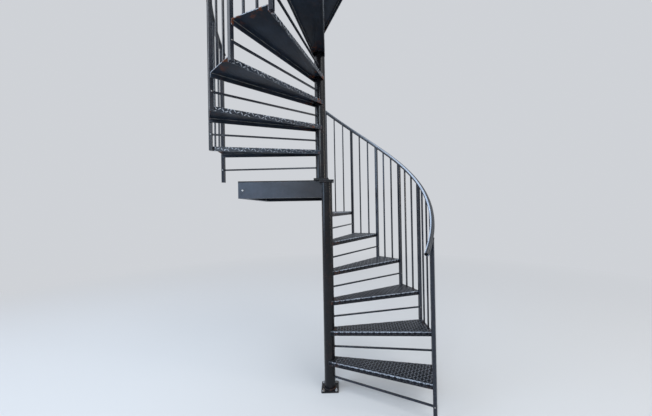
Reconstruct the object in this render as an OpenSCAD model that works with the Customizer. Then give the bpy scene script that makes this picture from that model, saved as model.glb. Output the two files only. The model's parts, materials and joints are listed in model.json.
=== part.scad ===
// Steel spiral stair in two flights, with a landing between them.
// Millimetres, +Z up. Origin: middle of the base plate's underside.
// Angles run anticlockwise from +X, seen from above; the stair climbs that way.

/* [Columns] */
// Outside diameter of the column pipes
column_od = 88.9; // [80:0.1:102]
// Wall of the column pipes
column_wall = 5.5; // [3:0.5:8]
// Distance from the lower column's axis to the upper column's axis
column_shift = 42; // [0:1:50]
// Side of the square base plate on the floor
base_side = 140; // [130:1:220]
// Thickness of the base plate
base_t = 9.5; // [8:0.5:16]
// Side of the two square plates between the columns
splice_side = 120; // [110:1:130]
// Thickness of the plate on top of the lower column
splice_low_t = 19; // [12:0.5:22]
// Thickness of the plate under the upper column
splice_t = 12.7; // [10:0.1:16]
// Radius of the anchor holes in the base plate
anchor_r = 6; // [5:0.5:7]
// Radius of the base plate's corners
plate_corner = 8; // [4:1:14]
// Distance of the anchor holes' middles from the base plate's edges
hole_margin = 18; // [15:1:24]
// How far the upper column rises over the middle of the guard's rail
column_over = 30; // [25:1:60]
// Height of the domed cap on it
cap_h = 28; // [20:1:40]
// How far the cap stands out past the column
cap_over = 3; // [2:0.5:6]

/* [Flights] */
// Angle of one step
step_deg = 20; // [19:0.5:21]
// Direction of the first nosing's outer corner
lower_start = -27; // [-30:0.5:-25]
// Rise of the lower steps
lower_rise = 241.3; // [200:0.1:245]
// Rise onto the landing
landing_rise = 268; // [240:1:280]
// Rise from the landing to the first upper tread
first_rise = 244; // [230:1:270]
// Rise of the upper steps
upper_rise = 203.2; // [190:0.1:215]

/* [Treads] */
// Distance from the column's axis to a tread's outer corners
tread_r = 838; // [760:1:900]
// Distance of the long edges from the column's axis
edge_off = 45.5; // [45:0.1:52]
// Thickness of the bent plate
plate_t = 4.8; // [4:0.1:6]
// Depth of the bent lips, from the walking face
lip_h = 35; // [30:1:40]
// Outer radius of the bends between the walking face and the lips
bend_r = 8; // [6:0.5:12]
// Where the inner end starts, along the tread
inner_start = 12; // [10:1:20]

/* [Guard] */
// Side of the square main posts
post_side = 25.4; // [22:0.1:30]
// How far in from the treads' corners the main posts stand, along the nosing
post_inset = 8; // [6:0.5:16]
// Side of the square balusters
baluster_side = 12.7; // [10:0.1:16]
// Side of the square bar in each open riser
bar_side = 12.7; // [10:0.1:16]
// Outside diameter of the handrail pipe
rail_od = 33.4; // [30:0.1:38]
// Wall of the handrail pipe at its open ends
rail_wall = 3.4; // [2.5:0.1:4]
// Depth to which these ends are open
rail_bore = 60; // [20:5:100]
// Radius of the handrail's curve, short of the treads' corners
rail_inset = 12; // [10:1:14]
// Height of the lower handrail's middle over the first nosing
lower_rail_h = 1036; // [950:1:1080]
// Rise of the lower handrail in one step
lower_rail_rise = 219.2; // [205:0.1:235]
// How far the lower handrail runs out before the first nosing, in degrees
rail_lead = 10; // [6:0.5:12]
// How far the upper handrail runs out before its first nosing, in degrees
upper_rail_lead = 3; // [2:0.5:5]
// How far both handrails run on past their last nosing, in degrees
rail_past = 2; // [1:0.5:4]
// Height of the upper handrail's middle over the nosings
upper_rail_h = 880; // [840:1:960]
// Height of the top guard's rail over the top landing
guard_h = 1000; // [950:1:1070]

/* [Landings] */
// Distance from the lower column's axis to the side wall
wall_x = 723; // [700:1:760]
// Distance from the lower column's axis to the back wall
wall_y = 862; // [850:1:880]
// Front edge of the landings, from the column's axis
front_y = 22; // [18:1:26]
// Thickness of the landing plates
deck_t = 9.5; // [6:0.5:12]
// Depth of the landing channels
channel_h = 132; // [100:1:152]
// Flange width of the channels
channel_b = 44.5; // [40:0.5:52]
// Thickness of the channel flanges
flange_t = 8; // [6:0.5:10]
// Thickness of the channel webs
web_t = 5; // [4:0.5:8]
// Radius of the channels' inner corners
channel_fillet = 8; // [4:0.5:10]
// Leg, along the channel, of the angle clips at the wall
clip_leg = 50; // [40:1:60]
// Thickness of the clips
clip_t = 6; // [5:0.5:8]

/* [Hidden] */
gap = 0.3;
lower_n = 6;
upper_n = 12;
column_r = column_od / 2;
clear_r = column_r + gap;
post_half = post_side / 2;
rail_r = rail_od / 2;
rail_path_r = tread_r - rail_inset;
// angle between a tread's corner and its long edge
edge_deg = asin(edge_off / tread_r);
// the main posts stand between one nosing and the tread below, and face the column
post_along = tread_r - post_inset;
post_turn = atan((edge_off + gap + post_half) / post_along);
post_off = edge_off + gap + post_half * (cos(post_turn) + sin(post_turn));
post_ring = sqrt(post_along * post_along + post_off * post_off);
post_swing = atan(post_off / post_along);
post_back = post_swing - edge_deg;
tread_deg = step_deg + 2 * edge_deg - 2 * post_swing;
chord_x = tread_r * cos(tread_deg / 2);
baluster_ring = chord_x - baluster_side / 2 - 1;
// depth of the posts' saddles under the middle of the handrail
saddle = rail_r / 2;
// levels of the walking faces
landing_z = lower_n * lower_rise + landing_rise;
upper_first = landing_z + first_rise;
top_z = upper_first + upper_n * upper_rise;
// the top landing's nosing runs 60 degrees from +X
upper_start = 180 - edge_deg;
top_start = upper_start + upper_n * step_deg;
top_dir = top_start + edge_deg - 360;
// the lower of the two plates between the columns is level with the landing plate,
// the upper one stands on both
splice_mid = landing_z + gap;
splice_top = splice_mid + splice_t;
splice_low = landing_z - splice_low_t;
anchor_xy = base_side / 2 - hole_margin;
// the clips fill the channels from flange to flange, short of the inner corners
clip_h = channel_h - 2 * flange_t - 2 * channel_fillet;
clip_wall_leg = channel_b - web_t - gap;
column_top = top_z + guard_h + column_over;
cap_r = column_r + cap_over;
cap_edge = cap_h / 5;
// what meets a column is drawn into it, then cut round it
into_column = column_r * 0.8;
// the guard of the top landing
guard_in = 17;
guard_y = -front_y + guard_in;
guard_x = -wall_x + guard_in;
guard_top = top_z + guard_h;
guard_bays = 6;
paint = [0.055, 0.057, 0.062];
worn = [0.075, 0.077, 0.082];

// height of a handrail's middle at an angle
function lower_rail_z(a) =
  lower_rise + lower_rail_h + lower_rail_rise * (a - lower_start) / step_deg;
function upper_rail_z(a) =
  upper_first + upper_rail_h + upper_rise * (a - upper_start) / step_deg;
function rail_z(low, a) = low ? lower_rail_z(a) : upper_rail_z(a);
function start_of(low) = low ? lower_start : upper_start;
function rail_rise(low) = low ? lower_rail_rise : upper_rise;
function rail_slope(low) = atan(rail_rise(low) * 180 / PI / (rail_path_r * step_deg));
function post_angle(low, k) = start_of(low) + (k - 1) * step_deg - post_back;
// walking level of tread k of a flight; 0 is the level it starts from
function level(low, k) =
  low ? (k > lower_n ? landing_z : k * lower_rise)
  : (k < 1 ? landing_z : upper_first + (k - 1) * upper_rise);

// everything on the column's side of a lip and under the bend, for one long edge;
// inset moves it in from the tread's outer faces
module behind_lip(inset) {
  bend = bend_r - inset;
  far = 2 * edge_off + tread_r * sin(tread_deg);
  tall = lip_h + 2 * inset + 2;
  translate([0, -edge_off, 0])
    rotate([90, 0, 90])
      translate([inset, -inset - tall])
        linear_extrude(height = tread_r)
          union() {
            square([far, tall - bend]);
            translate([bend, 0])
              square([far - bend, tall]);
            translate([bend, tall - bend])
              circle(r = bend, $fn = 48);
          }
}

// the space between both long edges
module between_lips(inset) {
  front = edge_deg - tread_deg / 2;
  intersection() {
    rotate([0, 0, front])
      behind_lip(inset);
    mirror([0, 1, 0])
      rotate([0, 0, front])
        behind_lip(inset);
  }
}

// one bent tread, walking face at z = 0, its middle along +X
module tread_shape() {
  front = edge_deg - tread_deg / 2;
  outer_y = tread_r * sin(tread_deg / 2);
  inner_x = inner_start * cos(front) + edge_off * sin(front);
  difference() {
    intersection() {
      between_lips(0);
      translate([inner_x, -outer_y, -lip_h])
        cube([chord_x - inner_x, 2 * outer_y, lip_h]);
    }
    between_lips(plate_t);
    translate([0, 0, -lip_h - 1])
      cylinder(r = clear_r, h = lip_h + 2, $fn = 96);
  }
}

// tread k of the lower flight
module lower_tread(k) {
  color(paint)
    translate([0, 0, level(true, k)])
      rotate([0, 0, lower_start + (k - 1) * step_deg + tread_deg / 2])
        tread_shape();
}

// tread k of the upper flight
module upper_tread(k) {
  color(paint)
    translate([-column_shift, 0, level(false, k)])
      rotate([0, 0, upper_start + (k - 1) * step_deg + tread_deg / 2])
        tread_shape();
}

// an upright square bar that faces the column, its top cut to the handrail
module upright(low, ring, a, side, foot) {
  rail_here = rail_z(low, a);
  rotate([0, 0, a])
    difference() {
      translate([ring - side / 2, -side / 2, foot])
        cube([side, side, rail_here - foot]);
      translate([rail_path_r, 0, rail_here])
        rotate([rail_slope(low), 0, 0]) {
          rotate([90, 0, 0])
            cylinder(r = rail_r + gap, h = 4 * rail_od, center = true, $fn = 48);
          translate([-2 * rail_od, -2 * rail_od, -saddle])
            cube(4 * rail_od);
        }
    }
}

// a main post stands on the floor, on a landing or beside the rear lip of the tread below
function post_foot(low, k, count) =
  k == 1 ? level(low, 0)
  : low && k == count ? landing_z
  : level(low, k - 1) - lip_h;

// main posts of a flight, one at each nosing
module posts(low, count) {
  for (k = [1 : count])
    upright(low, post_ring, post_angle(low, k), post_side, post_foot(low, k, count));
}

// two thin balusters on each tread
module balusters(low, count) {
  for (k = [1 : count])
    for (j = [1 : 2])
      upright(low, baluster_ring, post_angle(low, k) + j * step_deg / 3, baluster_side,
        level(low, k));
}

// one level bar in the middle of each open riser
module riser_bars(low, count) {
  reach = post_ring - post_half - gap;
  for (k = [1 : count]) {
    z = (level(low, k) - lip_h + level(low, k - 1)) / 2;
    rotate([0, 0, post_angle(low, k)])
      difference() {
        translate([0, -bar_side / 2, z - bar_side / 2])
          cube([reach, bar_side, bar_side]);
        translate([0, 0, z - bar_side])
          cylinder(r = clear_r, h = 2 * bar_side, $fn = 96);
      }
  }
}

// round pipe swept along the stair's curve, open at both ends: each ring is [angle, radius],
// from the bottom of the first bore, over the pipe's outside, to the bottom of the last one
module helix_rail(low, from, to) {
  sides = 20;
  steps = ceil((to - from) / 3.2);
  bore_r = rail_r - rail_wall;
  slope = rail_slope(low);
  bore_deg = rail_bore * cos(slope) * 180 / PI / rail_path_r;
  rings = concat([[from + bore_deg, bore_r], [from, bore_r]],
    [for (i = [0 : steps]) [from + (to - from) * i / steps, rail_r]],
    [[to, bore_r], [to - bore_deg, bore_r]]);
  points = [for (ring = rings) for (s = [0 : sides - 1]) let (
      a = ring[0],
      q = 360 * s / sides,
      out = rail_path_r + ring[1] * cos(q),
      up = ring[1] * sin(q))
      [out * cos(a) + up * sin(slope) * sin(a),
       out * sin(a) - up * sin(slope) * cos(a),
       rail_z(low, a) + up * cos(slope)]];
  final = len(rings) - 1;
  walls = [for (i = [0 : final - 1]) for (s = [0 : sides - 1])
    let (t = (s + 1) % sides)
      [i * sides + s, (i + 1) * sides + s, (i + 1) * sides + t, i * sides + t]];
  first_cap = [[for (s = [0 : sides - 1]) s]];
  last_cap = [[for (s = [sides - 1 : -1 : 0]) final * sides + s]];
  polyhedron(points = points, faces = concat(first_cap, walls, last_cap), convexity = 8);
}

// section of a channel, back of the web at x = 0, top at y = 0
module channel_section() {
  room = channel_h - 2 * flange_t;
  difference() {
    translate([0, -channel_h])
      square([channel_b, channel_h]);
    translate([web_t, -flange_t - room]) {
      translate([channel_fillet, 0])
        square([channel_b, room]);
      translate([0, channel_fillet])
        square([channel_b, room - 2 * channel_fillet]);
      for (y = [channel_fillet, room - channel_fillet])
        translate([channel_fillet, y])
          circle(r = channel_fillet, $fn = 48);
    }
  }
}

// channel along +X from x = 0, back of the web at y = 0, top at z = 0
module channel(long) {
  rotate([90, 0, 90])
    linear_extrude(height = long)
      channel_section();
}

// angle clip, its legs along +X and +Y from the corner
module wall_clip() {
  linear_extrude(height = clip_h)
    difference() {
      square([clip_leg, clip_wall_leg]);
      translate([clip_t, 2 * clip_t])
        square([clip_leg, clip_wall_leg]);
      translate([2 * clip_t, clip_t])
        square([clip_leg, clip_wall_leg]);
      translate([2 * clip_t, 2 * clip_t])
        circle(r = clip_t, $fn = 32);
    }
}

// square with round corners
module rounded_square(side) {
  flat = side - 2 * plate_corner;
  square([side, flat], center = true);
  square([flat, side], center = true);
  for (x = [-flat / 2, flat / 2])
    for (y = [-flat / 2, flat / 2])
      translate([x, y])
        circle(r = plate_corner, $fn = 32);
}

// four bores at the corners of the base plate
module anchor_bores() {
  for (x = [-anchor_xy, anchor_xy])
    for (y = [-anchor_xy, anchor_xy])
      translate([x, y, -1])
        cylinder(r = anchor_r, h = base_t + 2, $fn = 32);
}

module base_plate() {
  color(paint)
    difference() {
      linear_extrude(height = base_t)
        rounded_square(base_side);
      anchor_bores();
    }
}

module pipe(z0, z1) {
  translate([0, 0, z0])
    difference() {
      cylinder(r = column_r, h = z1 - z0, $fn = 96);
      translate([0, 0, -1])
        cylinder(r = column_r - column_wall, h = z1 - z0 + 2, $fn = 96);
    }
}

module lower_column() {
  color(paint)
    pipe(base_t, splice_low);
}

// square plate round the middle of a column, its underside at z
module splice_plate(x, z, t) {
  translate([x - splice_side / 2, -splice_side / 2, z])
    cube([splice_side, splice_side, t]);
}

module column_cap_plate() {
  color(paint)
    splice_plate(0, splice_low, splice_low_t);
}

module upper_base_plate() {
  color(paint)
    splice_plate(-column_shift, splice_mid, splice_t);
}

module upper_column() {
  color(paint)
    translate([-column_shift, 0, 0])
      pipe(splice_top, column_top);
}

module column_cap() {
  color(paint)
    translate([-column_shift, 0, column_top])
      rotate_extrude($fn = 96)
        polygon(concat([[0, 0], [cap_r, 0]],
          [for (q = [0 : 10 : 80]) [cap_r * cos(q), cap_edge + (cap_h - cap_edge) * sin(q)]],
          [[0, cap_h]]));
}

module lower_tread_1() { lower_tread(1); }
module lower_tread_2() { lower_tread(2); }
module lower_tread_3() { lower_tread(3); }
module lower_tread_4() { lower_tread(4); }
module lower_tread_5() { lower_tread(5); }
module lower_tread_6() { lower_tread(6); }
module upper_tread_1() { upper_tread(1); }
module upper_tread_2() { upper_tread(2); }
module upper_tread_3() { upper_tread(3); }
module upper_tread_4() { upper_tread(4); }
module upper_tread_5() { upper_tread(5); }
module upper_tread_6() { upper_tread(6); }
module upper_tread_7() { upper_tread(7); }
module upper_tread_8() { upper_tread(8); }
module upper_tread_9() { upper_tread(9); }
module upper_tread_10() { upper_tread(10); }
module upper_tread_11() { upper_tread(11); }
module upper_tread_12() { upper_tread(12); }

// room for the plate on top of the lower column
module splice_room() {
  room = splice_side + 2 * gap;
  translate([-room / 2, -room / 2, splice_low - gap])
    cube([room, room, 2 * splice_low_t]);
}

module landing_plate() {
  color(worn)
    difference() {
      translate([-wall_x, -front_y, landing_z - deck_t])
        cube([wall_x, wall_y + front_y, deck_t]);
      splice_room();
    }
}

// four channels under the landing plate, butted corner to corner
module landing_frame() {
  color(paint)
    difference() {
      translate([0, 0, landing_z - deck_t]) {
        translate([-wall_x, -front_y, 0])
          channel(wall_x - into_column);
        translate([0, clear_r + gap, 0])
          rotate([0, 0, 90])
            channel(wall_y - clear_r - gap);
        translate([-channel_b - gap, wall_y, 0])
          rotate([0, 0, 180])
            channel(wall_x - channel_b - gap);
        translate([-wall_x, wall_y - channel_b - gap, 0])
          rotate([0, 0, -90])
            channel(wall_y + front_y - 2 * channel_b - 2 * gap);
      }
      translate([0, 0, landing_z - 2 * channel_h])
        cylinder(r = clear_r, h = 3 * channel_h, $fn = 96);
      splice_room();
    }
}

// angle clips that hold the front and the back channel to the side wall
module wall_clips() {
  low_z = landing_z - deck_t - (channel_h + clip_h) / 2;
  color(paint)
    for (side = [[-front_y + web_t + gap, 0], [wall_y - web_t - gap, 1]])
      translate([-wall_x, side[0], low_z])
        mirror([0, side[1], 0])
          wall_clip();
}

// corner where the top nosing meets the back wall, from the upper column
function top_corner_x() =
  edge_off * sin(top_dir) + (wall_y + edge_off * cos(top_dir)) / tan(top_dir);

module top_landing_plate() {
  left = column_shift - wall_x;
  color(worn)
    translate([-column_shift, 0, top_z - deck_t])
      difference() {
        linear_extrude(height = deck_t)
          polygon([[0, 0],
            [edge_off * sin(top_dir) + inner_start * cos(top_dir),
             -edge_off * cos(top_dir) + inner_start * sin(top_dir)],
            [top_corner_x(), wall_y], [left, wall_y], [left, -front_y],
            [-into_column, -front_y]]);
        translate([0, 0, -1])
          cylinder(r = clear_r, h = deck_t + 2, $fn = 96);
      }
}

// channels under the top landing: front, left, back and along the nosing
module top_landing_frame() {
  left = column_shift - wall_x;
  beam = (wall_y - channel_b - gap + edge_off * cos(top_dir)) / sin(top_dir);
  color(paint)
    translate([-column_shift, 0, top_z - deck_t]) {
      difference() {
        translate([left, -front_y, 0])
          channel(-left - into_column);
        translate([0, 0, -2 * channel_h])
          cylinder(r = clear_r, h = 3 * channel_h, $fn = 96);
      }
      difference() {
        rotate([0, 0, top_dir])
          translate([inner_start, -edge_off, 0])
            channel(beam + 60);
        translate([0, 0, -2 * channel_h])
          cylinder(r = clear_r, h = 3 * channel_h, $fn = 96);
        translate([-2 * tread_r, wall_y - channel_b - gap, -2 * channel_h])
          cube([4 * tread_r, tread_r, 4 * channel_h]);
      }
      translate([left, wall_y - channel_b - gap, 0])
        rotate([0, 0, -90])
          channel(wall_y + front_y - 2 * channel_b - 2 * gap);
      intersection() {
        translate([top_corner_x(), wall_y, 0])
          rotate([0, 0, 180])
            channel(top_corner_x() - left);
        translate([0, 0, -2 * channel_h])
          linear_extrude(height = 3 * channel_h)
            polygon([[0, 0], [edge_off * sin(top_dir), -edge_off * cos(top_dir)],
              [top_corner_x(), wall_y], [top_corner_x(), wall_y + 1],
              [left - 1, wall_y + 1], [left - 1, 0]]);
      }
    }
}

module lower_posts() {
  color(paint)
    posts(true, lower_n + 1);
}

module lower_balusters() {
  color(paint)
    balusters(true, lower_n);
}

module lower_riser_bars() {
  color(paint)
    riser_bars(true, lower_n);
}

module lower_handrail() {
  color(paint)
    helix_rail(true, lower_start - rail_lead, lower_start + lower_n * step_deg + rail_past);
}

module upper_posts() {
  color(paint)
    translate([-column_shift, 0, 0])
      posts(false, upper_n + 1);
}

module upper_balusters() {
  color(paint)
    translate([-column_shift, 0, 0])
      balusters(false, upper_n);
}

module upper_riser_bars() {
  color(paint)
    translate([-column_shift, 0, 0])
      riser_bars(false, upper_n);
}

module upper_handrail() {
  color(paint)
    translate([-column_shift, 0, 0])
      helix_rail(false, upper_start - upper_rail_lead, top_start + rail_past);
}

// the guard's rail: along the front and the left of the top landing, round at the corner
module guard_pipe(r) {
  translate([guard_x, guard_y, guard_top]) {
    rotate([0, 90, 0])
      cylinder(r = r, h = -column_shift - into_column - guard_x, $fn = 48);
    rotate([-90, 0, 0])
      cylinder(r = r, h = wall_y - guard_y, $fn = 48);
    sphere(r = r, $fn = 48);
  }
}

// square bar of the guard, its top cut to the rail
module guard_upright(x, y, side) {
  difference() {
    translate([x - side / 2, y - side / 2, top_z])
      cube([side, side, guard_h - saddle]);
    guard_pipe(rail_r + gap);
  }
}

module top_guard_posts() {
  span_x = -column_shift - column_r - post_side - guard_x;
  span_y = wall_y - post_side - guard_y;
  color(paint) {
    for (i = [0 : 2])
      guard_upright(guard_x + i * span_x / 2, guard_y, post_side);
    for (i = [1 : 2])
      guard_upright(guard_x, guard_y + i * span_y / 2, post_side);
  }
}

module top_guard_balusters() {
  span_x = (-column_shift - column_r - post_side - guard_x) / guard_bays;
  span_y = (wall_y - post_side - guard_y) / (guard_bays + 2);
  color(paint) {
    for (i = [1, 2, 4, 5])
      guard_upright(guard_x + i * span_x, guard_y, baluster_side);
    for (i = [1, 2, 3, 5, 6, 7])
      guard_upright(guard_x, guard_y + i * span_y, baluster_side);
  }
}

module top_guard_rail() {
  color(paint)
    difference() {
      guard_pipe(rail_r);
      translate([-column_shift, 0, top_z])
        cylinder(r = clear_r, h = guard_h + 2 * rail_od, $fn = 96);
    }
}

base_plate();
lower_column();
column_cap_plate();
upper_base_plate();
upper_column();
column_cap();
lower_tread_1();
lower_tread_2();
lower_tread_3();
lower_tread_4();
lower_tread_5();
lower_tread_6();
landing_frame();
wall_clips();
landing_plate();
upper_tread_1();
upper_tread_2();
upper_tread_3();
upper_tread_4();
upper_tread_5();
upper_tread_6();
upper_tread_7();
upper_tread_8();
upper_tread_9();
upper_tread_10();
upper_tread_11();
upper_tread_12();
top_landing_frame();
top_landing_plate();
lower_posts();
lower_balusters();
lower_riser_bars();
lower_handrail();
upper_posts();
upper_balusters();
upper_riser_bars();
upper_handrail();
top_guard_posts();
top_guard_balusters();
top_guard_rail();
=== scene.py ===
import json
import math

import bpy
import bmesh
from mathutils import Matrix, Vector


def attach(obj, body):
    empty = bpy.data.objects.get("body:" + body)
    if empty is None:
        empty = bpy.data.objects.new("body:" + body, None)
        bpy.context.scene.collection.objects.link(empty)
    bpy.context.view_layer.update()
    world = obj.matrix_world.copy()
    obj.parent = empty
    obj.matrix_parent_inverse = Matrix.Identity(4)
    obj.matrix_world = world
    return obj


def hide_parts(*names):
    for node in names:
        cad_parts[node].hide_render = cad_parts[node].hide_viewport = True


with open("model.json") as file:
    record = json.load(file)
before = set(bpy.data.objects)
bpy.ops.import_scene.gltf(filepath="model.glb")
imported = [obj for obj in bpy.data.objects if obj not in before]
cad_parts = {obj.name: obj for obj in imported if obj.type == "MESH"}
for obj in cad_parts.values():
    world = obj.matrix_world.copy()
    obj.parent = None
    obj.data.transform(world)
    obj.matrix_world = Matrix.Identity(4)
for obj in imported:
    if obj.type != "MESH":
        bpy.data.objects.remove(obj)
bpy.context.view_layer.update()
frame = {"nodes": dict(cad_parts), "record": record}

# Sizes repeated from the part's source, in metres and radians
GAP = 0.0003
COLUMN_R = 0.04445
COLUMN_SHIFT = 0.042
BASE_SIDE = 0.140
BASE_T = 0.0095
SPLICE_SIDE = 0.120
SPLICE_LOW_T = 0.019
SPLICE_T = 0.0127
HOLE_MARGIN = 0.018

STEP = math.radians(20)
LOWER_START = math.radians(-27)
LOWER_RISE = 0.2413
LANDING_RISE = 0.268
FIRST_RISE = 0.244
UPPER_RISE = 0.2032
LOWER_COUNT = 6
UPPER_COUNT = 12

TREAD_R = 0.838
EDGE_OFF = 0.0455
PLATE_T = 0.0048
LIP_H = 0.035
BEND_R = 0.008
INNER_START = 0.012

POST_SIDE = 0.0254
POST_INSET = 0.008
BALUSTER_SIDE = 0.0127
BALUSTER_INSET = 0.001
BAR_SIDE = 0.0127

RAIL_R = 0.0167
RAIL_WALL = 0.0034
RAIL_BORE = 0.060
RAIL_INSET = 0.012
LOWER_RAIL_H = 1.036
LOWER_RAIL_RISE = 0.2192
UPPER_RAIL_H = 0.880
RAIL_LEAD = math.radians(10)
UPPER_RAIL_LEAD = math.radians(3)
RAIL_PAST = math.radians(2)

GUARD_IN = 0.017
GUARD_BAYS = 6
WALL_X = 0.723
WALL_Y = 0.862
FRONT_Y = 0.022
DECK_T = 0.0095
CHANNEL_H = 0.132

# Worked out from them, as in the source
LANDING_Z = LOWER_COUNT * LOWER_RISE + LANDING_RISE
UPPER_FIRST = LANDING_Z + FIRST_RISE
TOP_Z = UPPER_FIRST + UPPER_COUNT * UPPER_RISE
EDGE = math.asin(EDGE_OFF / TREAD_R)
POST_HALF = POST_SIDE / 2
POST_ALONG = TREAD_R - POST_INSET
POST_TURN = math.atan2(EDGE_OFF + GAP + POST_HALF, POST_ALONG)
POST_OFF = EDGE_OFF + GAP + POST_HALF * (math.cos(POST_TURN) + math.sin(POST_TURN))
POST_RING = math.hypot(POST_ALONG, POST_OFF)
POST_SWING = math.atan2(POST_OFF, POST_ALONG)
POST_BACK = POST_SWING - EDGE
TREAD_ANGLE = STEP + 2 * EDGE - 2 * POST_SWING
LEAN = EDGE - TREAD_ANGLE / 2  # direction of a tread's front edge, from its middle
CHORD_X = TREAD_R * math.cos(TREAD_ANGLE / 2)
BALUSTER_RING = CHORD_X - BALUSTER_SIDE / 2 - BALUSTER_INSET
RAIL_PATH_R = TREAD_R - RAIL_INSET
UPPER_START = math.pi - EDGE
TOP_START = UPPER_START + UPPER_COUNT * STEP
TOP_DIR = TOP_START + EDGE - 2 * math.pi
SPLICE_TOP = LANDING_Z + GAP + SPLICE_T
SPLICE_LOW = LANDING_Z - SPLICE_LOW_T
GUARD_X = GUARD_IN - WALL_X
GUARD_Y = GUARD_IN - FRONT_Y
UP = Vector((0, 0, 1))


class Flight:
    """One flight of the stair: its axis, first direction, treads and handrail."""

    def __init__(self, name, axis_x, start, count, rail_low, rail_rise):
        self.name = name
        self.axis = Vector((axis_x, 0, 0))
        self.start = start
        self.count = count
        self.post_count = count + 1
        self.rail_low = rail_low
        self.rail_rise = rail_rise
        self.is_lower = name == "lower"
        self.slope = math.atan(rail_rise / (RAIL_PATH_R * STEP))

    def level(self, k):
        """Height of tread k; past the lower flight and before the upper one is the landing."""
        if self.is_lower:
            return LANDING_Z if k > self.count else k * LOWER_RISE
        return LANDING_Z if k < 1 else UPPER_FIRST + (k - 1) * UPPER_RISE

    def tread_middle(self, k):
        return self.start + (k - 1) * STEP + TREAD_ANGLE / 2

    def post_angle(self, k):
        return self.start + (k - 1) * STEP - POST_BACK

    def bar_z(self, k):
        """Height of the bar in the riser under tread k."""
        return (self.level(k) - LIP_H + self.level(k - 1)) / 2

    def rail_z(self, angle):
        return self.rail_low + self.rail_rise * (angle - self.start) / STEP

    def at(self, ring, angle, z):
        return self.axis + Vector((ring * math.cos(angle), ring * math.sin(angle), z))


LOWER = Flight("lower", 0, LOWER_START, LOWER_COUNT, LOWER_RISE + LOWER_RAIL_H,
               LOWER_RAIL_RISE)
UPPER = Flight("upper", -COLUMN_SHIFT, UPPER_START, UPPER_COUNT, UPPER_FIRST + UPPER_RAIL_H,
               UPPER_RISE)


# Materials: black paint with dust, worn edges and rust, and some painted highlight, sheen and
# shade, in object space
class Shader:
    """A material under construction, with short calls for the nodes it needs."""

    def __init__(self, name):
        self.material = bpy.data.materials.new(name)
        self.material.use_nodes = True
        self.tree = self.material.node_tree
        self.tree.nodes.clear()
        self.out = self.node("ShaderNodeOutputMaterial")
        self.bsdf = self.node("ShaderNodeBsdfPrincipled")
        self.plug(self.out.inputs["Surface"], self.bsdf.outputs["BSDF"])
        self.coord = self.node("ShaderNodeTexCoord").outputs["Object"]
        self.normal = self.node("ShaderNodeNewGeometry").outputs["Normal"]

    def node(self, kind):
        return self.tree.nodes.new(kind)

    def plug(self, socket, value):
        """Links a socket to another one, or sets its plain value."""
        if isinstance(value, bpy.types.NodeSocket):
            self.tree.links.new(value, socket)
        else:
            socket.default_value = value

    def set(self, **values):
        for name, value in values.items():
            self.plug(self.bsdf.inputs[name.replace("_", " ")], value)

    def math(self, operation, a, b=0.0, clamp=False):
        n = self.node("ShaderNodeMath")
        n.operation = operation
        n.use_clamp = clamp
        self.plug(n.inputs[0], a)
        self.plug(n.inputs[1], b)
        return n.outputs[0]

    def plus(self, a, b, clamp=False):
        return self.math("ADD", a, b, clamp)

    def minus(self, a, b):
        return self.math("SUBTRACT", a, b)

    def times(self, product, *factors):
        for factor in factors:
            product = self.math("MULTIPLY", product, factor)
        return product

    def vector(self, operation, a, b=(0, 0, 0), output=0):
        n = self.node("ShaderNodeVectorMath")
        n.operation = operation
        self.plug(n.inputs[0], a)
        self.plug(n.inputs[1], b)
        return n.outputs[output]

    def dot(self, a, b):
        return self.vector("DOT_PRODUCT", a, b, "Value")

    def length(self, a):
        return self.vector("LENGTH", a, output="Value")

    def facing(self, direction):
        """Cosine of the surface's turn away from a direction."""
        return self.dot(self.normal, direction)

    def from_axis(self, axis_x):
        """The way to the shaded point from an upright axis, with no height."""
        way = self.vector("SUBTRACT", self.coord, (axis_x, 0, 0))
        return self.vector("MULTIPLY", way, (1, 1, 0))

    def remap(self, value, low, high, to_low=0.0, to_high=1.0):
        n = self.node("ShaderNodeMapRange")
        for socket, x in zip(n.inputs[:5], (value, low, high, to_low, to_high)):
            self.plug(socket, x)
        return n.outputs["Result"]

    def noise(self, scale, detail=4.0, rough=0.6, stretch=None):
        n = self.node("ShaderNodeTexNoise")
        n.inputs["Scale"].default_value = scale
        n.inputs["Detail"].default_value = detail
        n.inputs["Roughness"].default_value = rough
        place = self.coord
        if stretch:
            place = self.vector("MULTIPLY", self.coord, stretch)
        self.plug(n.inputs["Vector"], place)
        return n.outputs["Fac"]

    def mix(self, amount, a, b):
        n = self.node("ShaderNodeMix")
        n.data_type = "RGBA"
        self.plug(n.inputs["Factor"], amount)
        for name, value in (("A", a), ("B", b)):
            socket = next(s for s in n.inputs if s.name == name and s.type == "RGBA")
            self.plug(socket, (*value, 1) if isinstance(value, tuple) else value)
        return next(s for s in n.outputs if s.type == "RGBA")

    def bump(self, height, strength, distance, under=None):
        n = self.node("ShaderNodeBump")
        n.inputs["Strength"].default_value = strength
        n.inputs["Distance"].default_value = distance
        self.plug(n.inputs["Height"], height)
        if under:
            self.plug(n.inputs["Normal"], under)
        return n.outputs["Normal"]

    def edges(self, radius):
        """1 on convex and concave edges, 0 on flats."""
        n = self.node("ShaderNodeBevel")
        n.samples = 4
        n.inputs["Radius"].default_value = radius
        return self.remap(self.dot(n.outputs["Normal"], self.normal), 0.998, 0.93)


BLACK = (0.0052, 0.0056, 0.0070)
DUST = (0.085, 0.082, 0.078)
BARE = (0.31, 0.35, 0.41)
RUST = (0.200, 0.060, 0.022)
DARK_RUST = (0.040, 0.016, 0.010)
# Painted reflection of the sky on the channels: bluish, lighter by the side wall than by the
# column
SHEEN_NEAR_WALL = (0.075, 0.098, 0.136)
SHEEN_BY_COLUMN = (0.030, 0.034, 0.044)
# Painted highlight in the concave bends of treads: a pale line
BEND_HIGHLIGHT = (0.36, 0.35, 0.31)
EDGE_WEAR_R = 0.0022
SHEEN_X = (-0.10, -0.70)  # where the channels' painted sky reflection starts and where it is strongest
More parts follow.
